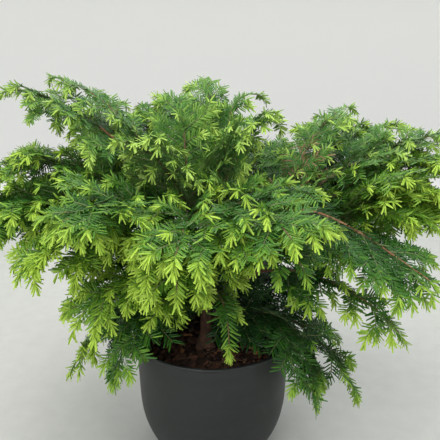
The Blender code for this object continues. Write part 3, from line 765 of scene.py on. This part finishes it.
class Growth:
    """The fine growth of one mass. Its needles and twigs go to two shared lists of rows."""

    def __init__(self, crown, name, needles, twigs):
        self.crown, self.name, self.needles, self.twigs = crown, name, needles, twigs
        self.row = ROWS[tier_of(name)]
        # The tones hold painted light and shade, by storey and by mass.
        self.old, self.young, self.freshness = MOODS_AND_PAINTED_LIGHT.get(name, TONES_AND_PAINTED_LIGHT[tier_of(name)])
        self.luck = random.Random(f"{name} looks")
        self.chance = np.random.default_rng(self.luck.randrange(10**9))

    def add_needles(self, curve, side, span, row, tones):
        self.needles.extend(ranks(curve, side, span, row, tones, self.chance))

    def add_shoot(self, twig, place, side, size, tones):
        """The fresh shoot at the end of a twig: it nods, and its needles fan out round its tip."""
        end, heading = curve_point(twig, place), curve_heading(twig, place)
        reach = size * self.chance.uniform(*SHOOT_REACH)
        curve = bent(end, heading, reach, self.chance.uniform(*SHOOT_NOD))
        self.twigs.append((curve, 0.0, 1.0, SHOOT_RADII, 3, 2, TENDER))
        newer = (tones[0] + SHOOT_TONES[0], tones[1] + SHOOT_TONES[1])
        up = heading.cross(side).normalized()
        for across, (first, row) in zip((side, up), SHOOT_ROWS):
            self.add_needles(curve, across, (first, 1.0), row, newer)

    def dress(self):
        """The stem of the mass, and every side stem on it."""
        curve, root, *_ = self.crown.masses[self.name]
        length = curve_length(curve) * (1.0 - root)
        last = 1.0 - NEEDLE_PAST / length
        level = level_across(curve)
        if self.name not in STOUT:
            rings = max(4, round(length / SPINE_RING))
            self.twigs.append((curve, root, last, TWIG_RADII, 6, rings, SPINE))
        _, bare = STOUT.get(self.name, (None, BARE))
        row = self.row._replace(step=self.row.step * SPINE_THINNER, angles=SPINE_ANGLES)
        span = (between((root, 1.0), bare), last)
        self.add_needles(curve, level, span, row, (self.old, self.young))
        self.add_shoot(curve, last, level, END_SHOOT, (self.young, self.young))
        for lateral in laterals(self.crown, self.name):
            self.dress_lateral(lateral)

    def dress_lateral(self, lateral):
        """One side stem, with its needles, its shoot and its side twigs."""
        line, side, reach, share = lateral
        dim = shade(self.name, line[3])
        # Painted shade: the tones drop where the side stem ends under the crown.
        shift = self.luck.gauss(0.0, SPRAY_TONE_SCATTER) - SHADE_DEPTH * dim
        newest = between((self.old, self.young), 0.5 + 0.5 * share) + shift
        tones = (self.old + 1.0 * share + shift, newest)
        rings = max(3, round(reach / LATERAL_RING))
        self.twigs.append((line, 0.0, 1.0, LATERAL_RADII, 4, rings, OLIVE))
        self.add_needles(line, side, (0.08, 1.0), self.row._replace(palest=LIME), tones)
        if self.luck.random() < (0.25 + 0.75 * self.freshness) * (1.0 - dim):
            size = self.luck.uniform(*SPRAY_SHOOTS)
            self.add_shoot(line, 1.0, side, size, (newest, self.young + shift))
        self.dress_sides(lateral, tones, self.young + shift, self.freshness * (1.0 - dim))

    def dress_sides(self, lateral, tones, young, freshness):
        """The fine twigs along both sides of one side stem."""
        line, side, reach, share = lateral
        luck = self.luck
        widest = max(LEAST_HALF_WIDTH, HALF_WIDTH_SHARE * reach)
        shorter = (full - less for full, less in zip(self.row.lengths, TWIG_NEEDLES_SHORTER))
        row = self.row._replace(lengths=tuple(shorter), angles=TWIG_NEEDLE_ANGLES, palest=LIME)
        count = int(reach / TWIG_STEP)
        for index in range(count):
            stray = luck.uniform(-TWIG_STRAY, TWIG_STRAY)
            place = between(TWIG_PLACES, (index + stray) / max(1, count - 1))
            place = min(max(place, TWIG_LIMITS[0]), TWIG_LIMITS[1])
            tilt = radians(luck.uniform(-TWIG_TILT, TWIG_TILT))
            turn = luck.uniform(-TWIG_TURN, TWIG_TURN)
            angle = radians(between(TWIG_ANGLES, place) + turn)
            way = (1 if index % 2 else -1, tilt, angle)
            bulge = sin(pi * (SPRAY_ROUND[0] + SPRAY_ROUND[1] * place))
            size = widest * bulge * luck.uniform(*TWIG_SCATTER) / sin(angle) - TWIG_INSET
            droop = luck.uniform(*TWIG_DROOP)
            where = (self.name, line, place, side)
            twig, flat, _ = self.crown.sprout(*where, way, size, droop, TWIG_TRIALS)
            if not twig:
                continue
            self.twigs.append((twig, 0.0, 1.0, SIDE_RADII, 3, 3, OLIVE))
            tone = between(tones, place)
            outer = min(max((place - 0.4) / 0.25, 0.0), 1.0)
            tip_tone = between((tone, max(tone, young)), outer)
            self.add_needles(twig, flat, (0.06, 1.0), row, (tone, tip_tone))
            if luck.random() < freshness * (0.12 + 0.95 * outer) * (0.5 + 0.5 * share):
                self.add_shoot(twig, 1.0, flat, luck.uniform(*TWIG_SHOOTS), (young, young))


# Materials


def shader_of(material):
    return material.node_tree.nodes["Principled BSDF"]


def new_material(name, colour, roughness, **values):
    made = bpy.data.materials.new(name)
    made.use_nodes = True
    shader = shader_of(made)
    shader.inputs["Base Color"].default_value = (*colour, 1.0)
    shader.inputs["Roughness"].default_value = roughness
    for key, value in values.items():
        shader.inputs[key.replace("_", " ")].default_value = value
    made.diffuse_color = (*colour, 1.0)
    return made


def wire(material, *links):
    """Links nodes, by source, its socket, target and its socket."""
    for source, socket, target, entry in links:
        material.node_tree.links.new(source.outputs[socket], target.inputs[entry])


def node(material, kind, **values):
    made = material.node_tree.nodes.new(kind)
    for key, value in values.items():
        if hasattr(made, key):
            setattr(made, key, value)
        else:
            made.inputs[key.replace("_", " ")].default_value = value
    return made


def ramp(material, stops):
    made = node(material, "ShaderNodeValToRGB")
    elements = made.color_ramp.elements
    elements.remove(elements[1])
    elements[0].position, elements[0].color = stops[0][0], (*stops[0][1], 1.0)
    for place, colour in stops[1:]:
        elements.new(place).color = (*colour, 1.0)
    return made


def grain_of(material, scale, squash=1.0, **values):
    """A noise over the object, drawn out along Z by squash."""
    place = node(material, "ShaderNodeTexCoord")
    mapping = node(material, "ShaderNodeMapping", Scale=(1.0, 1.0, squash))
    grain = node(material, "ShaderNodeTexNoise", Scale=scale, **values)
    wire(material, (place, "Object", mapping, "Vector"), (mapping, "Vector", grain, "Vector"))
    return grain


def add_relief(material, grain, strength, distance):
    relief = node(material, "ShaderNodeBump", Strength=strength, Distance=distance)
    shader = shader_of(material)
    wire(material, (grain, "Fac", relief, "Height"), (relief, "Normal", shader, "Normal"))


def grained(name, stops, scale, roughness, bump, distance, squash=1.0):
    """A material whose colour and relief follow one noise."""
    made = new_material(name, stops[0][1], roughness)
    grain = grain_of(made, scale, squash, Detail=6.0, Roughness=0.6)
    colours = ramp(made, stops)
    wire(made, (grain, "Fac", colours, "Fac"), (colours, "Color", shader_of(made), "Base Color"))
    add_relief(made, grain, bump, distance)
    return made


# The numbers of a Mix node's colour sockets: its two entries and its result.
MIX_COLOURS, MIX_RESULT = (6, 7), 2
SCUFF_SHARE = 0.35


def plastic():
    """Matt moulded plastic with fine grain, faint turning marks and pale scuffs."""
    made = new_material("pot_plastic_worn", (0.014, 0.016, 0.017), 0.5)
    shader = shader_of(made)
    broad = grain_of(made, 7.0, 14.0, Detail=4.0, Roughness=0.55)
    marks = grain_of(made, 26.0, Detail=5.0, Roughness=0.65)
    grain = grain_of(made, 900.0, Detail=2.0)
    tone = ramp(made, [(0.35, (0.006, 0.0078, 0.0082)), (0.65, (0.0098, 0.012, 0.0128))])
    scuff = ramp(made, [(0.6, (0.0, 0.0, 0.0)), (0.75, (SCUFF_SHARE,) * 3)])
    mix = node(made, "ShaderNodeMix", data_type="RGBA")
    mix.inputs[MIX_COLOURS[1]].default_value = (0.05, 0.053, 0.054, 1.0)
    rough = node(made, "ShaderNodeMapRange", To_Min=0.42, To_Max=0.58)
    wire(
        made,
        (broad, "Fac", tone, "Fac"),
        (marks, "Fac", scuff, "Fac"),
        (scuff, "Color", mix, 0),
        (tone, "Color", mix, MIX_COLOURS[0]),
        (mix, MIX_RESULT, shader, "Base Color"),
        (marks, "Fac", rough, "Value"),
        (rough, "Result", shader, "Roughness"),
    )
    add_relief(made, grain, 0.12, 0.0004)
    return made


# Objects


def add_object(name, mesh):
    made = bpy.data.objects.new(name, mesh)
    bpy.context.scene.collection.objects.link(made)
    return made


def mesh_object(name, points, faces, kinds, materials, smooth=False):
    mesh = bpy.data.meshes.new(name)
    mesh.from_pydata(points, [], faces, shade_flat=not smooth)
    for material in materials:
        mesh.materials.append(material)
    mesh.polygons.foreach_set("material_index", kinds)
    mesh.validate()
    return add_object(name, mesh)


def object_of(name, shape, material, sharp=35.0):
    """An object made from a bmesh, smooth but for edges sharper than this."""
    mesh = bpy.data.meshes.new(name)
    shape.to_mesh(mesh)
    shape.free()
    mesh.shade_smooth()
    mesh.set_sharp_from_angle(angle=radians(sharp))
    mesh.materials.append(material)
    return add_object(name, mesh)


def join_rings(shape, rings, sides):
    """Faces between each ring of corners and the next. A ring may be a single corner."""
    for lower, upper in zip(rings, rings[1:]):
        for side in range(sides):
            after = (side + 1) % sides
            corners = [lower[side % len(lower)], lower[after % len(lower)]]
            corners += [upper[after % len(upper)], upper[side % len(upper)]]
            shape.faces.new(dict.fromkeys(corners))


def revolved(profile, sides):
    """A surface turned about Z from (radius, height) pairs."""
    shape = bmesh.new()
    turns = [tau * side / sides for side in range(sides)]
    rings = []
    for radius, height in profile:
        if radius == 0.0:
            rings.append([shape.verts.new((0.0, 0.0, height))])
            continue
        rings.append([shape.verts.new(polar(radius, turn, height)) for turn in turns])
    join_rings(shape, rings, sides)
    return shape


def turned(profile, sides):
    """A closed solid turned about Z, from a profile that starts and ends on the axis."""
    shape = revolved(profile, sides)
    bmesh.ops.recalc_face_normals(shape, faces=shape.faces)
    return shape


def pot_profile():
    """The pot's foot, wall and rounded lip, from the axis under it to the axis inside it."""
    foot, under_lip = wall_radius(0.0), POT_HEIGHT - LIP_HEIGHT
    outside = [(0.0, 0.0), (foot - FOOT_CHAMFER[0], 0.0), (foot, FOOT_CHAMFER[1])]
    rings = [height for height in WALL_RINGS if height < under_lip - 0.001]
    outside += [(wall_radius(height), height) for height in rings]
    outside += [(wall_radius(under_lip), under_lip - 0.0003)]
    outside += [(RIM_RADIUS - LIP_CHAMFER, under_lip + LIP_CHAMFER)]
    outside += [(RIM_RADIUS, under_lip + LIP_ROUND), (RIM_RADIUS, POT_HEIGHT - LIP_ROUND - 0.0001)]
    for angle in map(radians, (20, 45, 70)):
        radius = RIM_RADIUS - LIP_ROUND + LIP_ROUND * cos(angle)
        outside.append((radius, POT_HEIGHT - LIP_ROUND + LIP_ROUND * sin(angle)))
    outside += [(RIM_RADIUS - LIP_ROUND - 0.0002, POT_HEIGHT)]
    inner_rim = wall_radius(POT_HEIGHT) - WALL
    inside = [(inner_rim + INNER_CHAMFER, POT_HEIGHT), (inner_rim, POT_HEIGHT - INNER_CHAMFER)]
    rings = [height for height in reversed(WALL_RINGS) if height > FLOOR]
    inside += [(wall_radius(height) - WALL, height) for height in rings]
    return outside + inside + [(foot - WALL, FLOOR), (0.0, FLOOR)]


def add_pot():
    pot = object_of("pot_moulded", turned(pot_profile(), POT_SIDES), plastic())
    shape = bmesh.new()
    for hole in range(DRAIN_HOLES):
        angle = tau * (hole + 0.5) / DRAIN_HOLES
        made = bmesh.ops.create_cone(
            shape, cap_ends=True, segments=24, radius1=DRAIN_RADIUS, radius2=DRAIN_RADIUS, depth=0.01
        )
        bmesh.ops.translate(shape, verts=made["verts"], vec=polar(DRAIN_CIRCLE, angle))
    cutter = object_of("drain_cutter", shape, pot.data.materials[0])
    drains = pot.modifiers.new("drains", "BOOLEAN")
    drains.operation = "DIFFERENCE"
    drains.object = cutter
    graph = bpy.context.evaluated_depsgraph_get()
    result = bpy.data.meshes.new_from_object(pot.evaluated_get(graph))
    pot.modifiers.clear()
    pot.data = result
    bpy.data.objects.remove(cutter)
    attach(pot, BODY)
    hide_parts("pot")


def soil_height(x, y):
    slope = max(0.0, hypot(x, y) - SOIL_LEVEL_TO)
    dish = SOIL_DISH * slope / (wall_radius(SOIL_TOP) - WALL - SOIL_LEVEL_TO)
    bumps = sum(
        noise.noise(Vector((x, y, seed)) * scale) * height for seed, scale, height in SOIL_BUMPS
    )
    return SOIL_TOP - dish + bumps - SOIL_SUNK


def add_soil():
    """The bark mix: a rough surface, bark chips lying on it, and a few pale fibres."""
    side = WALL + GAP
    profile = [(0.0, FLOOR + GAP), (wall_radius(0.0) - side, FLOOR + GAP)]
    profile += [(wall_radius(height) - side, height) for height in SOIL_RINGS]
    edge = wall_radius(SOIL_TOP) - side
    profile += [(edge, SOIL_TOP - SOIL_EDGE)]
    steps = range(SURFACE_RINGS, -1, -1)
    profile += [(edge * step / SURFACE_RINGS, SOIL_TOP) for step in steps]
    shape = turned(profile, SOIL_SIDES)
    for vertex in shape.verts:
        if vertex.co.z > SOIL_TOP - SOIL_EDGE / 2:
            vertex.co.z = soil_height(vertex.co.x, vertex.co.y)
    browns = [(0.3, (0.012, 0.006, 0.004)), (0.52, (0.04, 0.017, 0.009))]
    browns += [(0.7, (0.085, 0.036, 0.018))]
    mix = grained("bark_mix_loose", browns, 160.0, 0.95, 0.9, 0.002)
    soil = object_of("soil_surface", shape, mix, sharp=60)
    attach(soil, BODY)
    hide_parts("soil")
    luck = random.Random("bark chips")
    edge = wall_radius(SOIL_TOP) - WALL - OFF_POT
    add_chips(luck, edge)
    add_fibres(luck, edge)


def add_chips(luck, edge):
    kinds = [
        grained(name, [(0.35, dark), (0.65, pale)], 220.0, 0.85, 0.5, 0.0008, squash=0.4)
        for name, (dark, pale), _ in CHIP_TINTS
    ]
    odds = [common for _, _, common in CHIP_TINTS]
    points, faces, tints = [], [], []
    for _ in range(CHIPS):
        size = Vector([luck.uniform(*span) for span in CHIP_SIZES])
        radius = (edge - size.x * 0.45) * sqrt(luck.random())
        turn = luck.uniform(0, tau)
        x, y = radius * cos(turn), radius * sin(turn)
        if hypot(x - TRUNK_FOOT.x, y - TRUNK_FOOT.y) < FLARE_RADIUS + 0.002:
            continue
        lift = luck.choice(CHIP_LIFTS)
        centre = Vector((x, y, soil_height(x, y) + size.z * 0.25 + lift))
        roll, pitch = (luck.gauss(0, tilt) for tilt in CHIP_TILTS)
        tilt = Euler((roll, pitch, luck.uniform(0, tau))).to_matrix()
        base = len(points)
        for top in (-1, 1):
            for corner in range(CHIP_CORNERS):
                angle = tau * corner / CHIP_CORNERS + luck.uniform(-0.25, 0.25)
                out = luck.uniform(0.75, 1.08) * (1.0 if top < 0 else CHIP_TAPER)
                flat = (cos(angle) * size.x * out, sin(angle) * size.y * out)
                place = Vector((*flat, top * size.z))
                place.z *= luck.uniform(0.6, 1.1)
                points.append(centre + tilt @ (place / 2))
        made = chip_faces(base, base + CHIP_CORNERS)
        faces += made
        tints += [luck.choices(range(len(odds)), odds)[0]] * len(made)
    chips = mesh_object("soil_chips", np.array(points), np.array(faces), np.array(tints), kinds)
    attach(chips, BODY)


def chip_faces(low, high):
    """The triangles of one chip, from the first corners of its lower and upper face."""
    made = []
    for corner in range(CHIP_CORNERS):
        after = (corner + 1) % CHIP_CORNERS
        made.append((low + corner, low + after, high + after))
        made.append((low + corner, high + after, high + corner))
    for corner in range(1, CHIP_CORNERS - 1):
        made.append((low, low + corner + 1, low + corner))
        made.append((high, high + corner, high + corner + 1))
    return made


def add_fibres(luck, edge):
    fibres = []
    for _ in range(FIBRES):
        turn, radius = luck.uniform(0, tau), edge * sqrt(luck.random()) * 0.92
        start = polar(radius, turn)
        start.z = soil_height(start.x, start.y) + 0.003
        leave = polar(1.0, luck.uniform(0, tau), luck.uniform(0.0, 0.35))
        length = luck.uniform(*FIBRE_LENGTHS)
        end = start + leave * length
        if hypot(end.x, end.y) < edge:
            curve = bent(start, leave, length, luck.uniform(0.1, 0.4))
            fibres.append((curve, 0.0, 1.0, FIBRE_RADII, 4, 6, 0))
    straw = new_material("soil_fibre", (0.17, 0.12, 0.07), 0.8)
    made = mesh_object("soil_fibres", *tubes(fibres), [straw], smooth=True)
    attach(made, BODY)


def bark_tube(shape, curve, span, radii, texture, seed, flare):
    """A closed limb with furrowed bark along a span of its curve, added to a bmesh.

    texture is its number of sides, the step of its rings and the depth of its furrows.
    With flare, it widens to the trunk's foot in four lobes.
    """
    sides, step, depth = texture
    length = curve_length(curve) * (span[1] - span[0])
    count = max(3, round(length / step))
    rings = []
    across = curve_heading(curve, span[0]).orthogonal().normalized()
    for index in range(count + 1):
        t = between(span, index / count)
        centre, heading = curve_point(curve, t), curve_heading(curve, t)
        across = square_to(heading, across)
        other = heading.cross(across)
        lift = max(0.0, 1.0 - (centre.z - TRUNK_FOOT.z) / FLARE_HEIGHT) if flare else 0.0
        radius = between(radii, index / count) + (FLARE_RADIUS - TRUNK_RADII[0]) * lift**2
        ring = []
        for side in range(sides):
            angle = tau * side / sides
            east, north = cos(angle), sin(angle)
            down = t * length / FURROW_LENGTH + seed
            place = Vector((east * FURROW_ROUND, north * FURROW_ROUND, down))
            broad, fine = (noise.noise(place * scale) for scale in FURROW_SCALES)
            furrow = abs(broad) + 0.5 * fine
            lobes = lift * LOBE_DEPTH * cos(angle * ROOT_LOBES + seed)
            spoke = across * east + other * north
            point = centre + spoke * radius * (1.0 + lobes - depth * furrow)
            if flare and index == 0:
                point.z = TRUNK_FOOT.z
            ring.append(shape.verts.new(point))
        rings.append(ring)
    join_rings(shape, rings, sides)
    shape.faces.new(list(reversed(rings[0])))
    shape.faces.new(rings[-1])


def limb_object(name, kind, limbs, bark, sharp=50):
    """One object of several limbs, each given as its curve, its span and its radii."""
    shape = bmesh.new()
    *texture, seed, past = BARKS[kind]
    for number, (curve, (first, last), radii) in enumerate(limbs):
        span = (first, last + past)
        bark_tube(shape, curve, span, radii, texture, seed + number, flare=kind == "trunk")
    return object_of(name, shape, bark, sharp)


def add_bark(crown):
    browns = [(0.3, (0.03, 0.014, 0.009)), (0.5, (0.085, 0.04, 0.023))]
    browns += [(0.72, (0.19, 0.1, 0.06))]
    bark = grained("bark_furrowed", browns, 190.0, 0.85, 0.7, 0.0012, squash=0.35)
    trunk = limb_object("trunk_bark", "trunk", [crown.limbs["trunk"]], bark)
    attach(trunk, BODY)
    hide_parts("trunk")
    stems = limb_object("stem_bark", "stem", [crown.limbs[name] for name, _, _ in STEMS], bark)
    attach(stems, BODY)
    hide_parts("stem_right", "stem_back")
    names = [name for name in crown.limbs if name in crown.masses]
    boughs = limb_object("bough_bark", "bough", [crown.limbs[name] for name in names], bark)
    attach(boughs, BODY)
    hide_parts(*(f"bough_{name}" for name in names))


def add_stout_stems(crown):
    """The bare tan stems that show along two of the masses."""
    tans = [(0.3, (0.085, 0.036, 0.016)), (0.5, (0.21, 0.098, 0.042))]
    tans += [(0.7, (0.36, 0.2, 0.1))]
    tan = grained("bark_tan", tans, 260.0, 0.8, 0.8, 0.001, squash=0.6)
    limbs = []
    for name, (radii, _) in STOUT.items():
        curve, root, *_ = crown.masses[name]
        limbs.append((curve, (root, 1.0 - NEEDLE_PAST / curve_length(curve)), radii))
    stems = limb_object("stout_stem_bark", "stout", limbs, tan, sharp=60)
    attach(stems, BODY)


def needle_finishes(prefix, painted_sheen):
    """The materials of the needles, from the oldest to the newest, each by upper and lower face. The
    factor on blue paints a sheen of light on the needles.
    """
    finishes = []
    for name, faces in TINTS.items():
        upper, lower = ((red, green, blue * painted_sheen) for red, green, blue in faces)
        finishes.append(new_material(f"{prefix}_{name}", upper, 0.43, Specular_IOR_Level=0.29))
        finishes.append(new_material(f"{prefix}_{name}_under", lower, 0.6, Specular_IOR_Level=0.2))
    return finishes


def add_foliage(crown):
    plain, painted_sheen_finishes = needle_finishes("needle", 1.0), needle_finishes("needle_painted_sheen", PAINTED_SHEEN_BLUE)
    twigs = []
    groups = {}
    for parent, rows in FOLIAGE.items():
        for name, *_ in rows:
            groups.setdefault(f"{tier_of(name)}_{parent}", []).append(name)
    for group, names in groups.items():
        needles = []
        for name in names:
            Growth(crown, name, needles, twigs).dress()
        # The highest storeys take the bluer finishes, a painted sheen.
        finishes = painted_sheen_finishes if tier_of(names[0]) in PAINTED_SHEEN_TIERS else plain
        piece = mesh_object(f"needles_{group}", *blades(needles), finishes)
        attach(piece, BODY)
        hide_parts(*(f"foliage_{name}" for name in names))
    brown = new_material("twig_brown", (0.135, 0.085, 0.038), 0.7)
    olive = new_material("twig_olive", (0.115, 0.15, 0.05), 0.65)
    green = new_material("twig_green", (0.19, 0.3, 0.06), 0.55)
    piece = mesh_object("twigs", *tubes(twigs), [brown, olive, green], smooth=True)
    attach(piece, BODY)


# Stage


def add_camera():
    lens = bpy.data.cameras.new("camera")
    lens.lens = LENS
    lens.sensor_width = SENSOR
    camera = add_object("camera", lens)
    camera.location = CAMERA_AT
    camera.rotation_euler = (radians(CAMERA_PITCH), 0.0, 0.0)
    bpy.context.scene.camera = camera


def add_light(name, place, target, size, power, colour):
    lamp = bpy.data.lights.new(name, "AREA")
    lamp.shape = "SQUARE"
    lamp.size = size
    lamp.energy = power
    lamp.color = colour
    made = add_object(name, lamp)
    made.location = place
    way = Vector(target) - Vector(place)
    made.rotation_euler = way.to_track_quat("-Z", "Y").to_euler()


def add_stage():
    """A pale floor that sweeps up into a low wall all round, and soft light."""
    profile = [(0.0, 0.0)] + [(radius, 0.0) for radius in STAGE_RINGS]
    for step in range(1, STAGE_STEPS + 1):
        angle = radians(90 * step / STAGE_STEPS)
        out, up = STAGE_SWEEP * sin(angle), STAGE_SWEEP * (1 - cos(angle))
        profile.append((STAGE_RINGS[-1] + out, up))
    profile.append(STAGE_WALL)
    greys = [(0.3, (0.49, 0.5, 0.47)), (0.7, (0.53, 0.54, 0.51))]
    pale = grained("stage_pale", greys, 40.0, 0.8, 0.05, 0.001)
    floor = object_of("stage_floor", revolved(profile, STAGE_SIDES), pale)
    floor.data.materials.append(new_material("stage_wall", (0.88, 0.88, 0.86), 0.8))
    for face in floor.data.polygons:
        face.material_index = int(face.center.xy.length > STAGE_FINISH_TO)
    floor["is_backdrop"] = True
    world = bpy.data.worlds.new("studio")
    world.use_nodes = True
    background = world.node_tree.nodes["Background"]
    background.inputs["Color"].default_value = (*WORLD_COLOUR, 1.0)
    background.inputs["Strength"].default_value = WORLD_STRENGTH
    bpy.context.scene.world = world
    bpy.context.scene.view_settings.view_transform = "Standard"
    for light in LIGHTS:
        add_light(*light)


def corners(pair):
    return [[float(value) for value in corner] for corner in pair]


def main():
    cad_box = corners(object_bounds())
    add_camera()
    crown = Crown()
    add_pot()
    add_soil()
    add_bark(crown)
    add_stout_stems(crown)
    add_foliage(crown)
    add_stage()
    {"cad": cad_box, "visual": corners(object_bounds())}


main()
